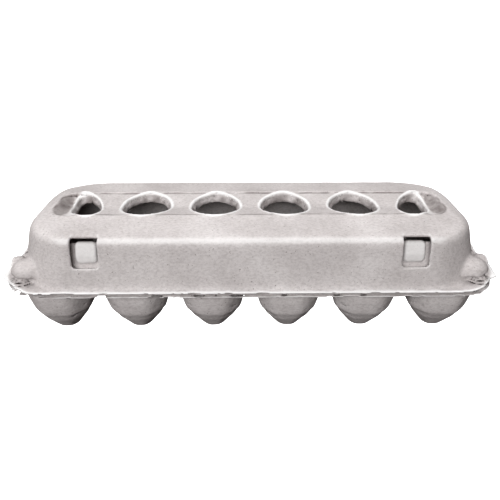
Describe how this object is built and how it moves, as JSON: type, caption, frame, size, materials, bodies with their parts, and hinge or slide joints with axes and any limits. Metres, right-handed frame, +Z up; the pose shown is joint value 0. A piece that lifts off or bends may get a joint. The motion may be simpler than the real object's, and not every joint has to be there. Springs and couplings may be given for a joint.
{
  "type": "egg carton",
  "caption": "Moulded pulp egg carton with two rows of tapered cells, a hinged lid with oval view holes, and an inner lock flap whose buttons spring into two windows.",
  "frame": {"origin": "on the table under the middle of the closed carton", "axes": "+X along the carton, +Y to the back where the lid is hinged, +Z up"},
  "size_m": [0.296, 0.108, 0.0736],
  "materials": {
    "pulp": "matt moulded recycled pulp, light warm grey, fibrous"
  },
  "bodies": {
    "tray": {"tray_deck": "pulp", "egg_cup_front_1": "pulp", "egg_cup_front_2": "pulp", "egg_cup_front_3": "pulp", "egg_cup_front_4": "pulp", "egg_cup_front_5": "pulp", "egg_cup_front_6": "pulp", "egg_cup_rear_1": "pulp", "egg_cup_rear_2": "pulp", "egg_cup_rear_3": "pulp", "egg_cup_rear_4": "pulp", "egg_cup_rear_5": "pulp", "egg_cup_rear_6": "pulp", "centre_post_1": "pulp", "centre_post_2": "pulp", "centre_post_3": "pulp", "centre_post_4": "pulp", "centre_post_5": "pulp", "lid_hinge_bead": "pulp"},
    "flap": {"flap_hinge_web": "pulp", "lock_flap": "pulp", "lock_button_left": "pulp", "lock_button_right": "pulp"},
    "lid": {"lid_shell": "pulp"}
  },
  "joints": [
    {"name": "lid_hinge", "type": "hinge", "parent": "tray", "child": "lid", "pos_m": [0, 0.0524, 0.03815], "axis": [-1, 0, 0], "range_deg": [0, 180]},
    {"name": "flap_press", "type": "hinge", "parent": "tray", "child": "flap", "pos_m": [0, -0.046, 0.0393], "axis": [1, 0, 0], "range_deg": [-10, 7], "stiffness_Nm_per_rad": 0.02}
  ]
}
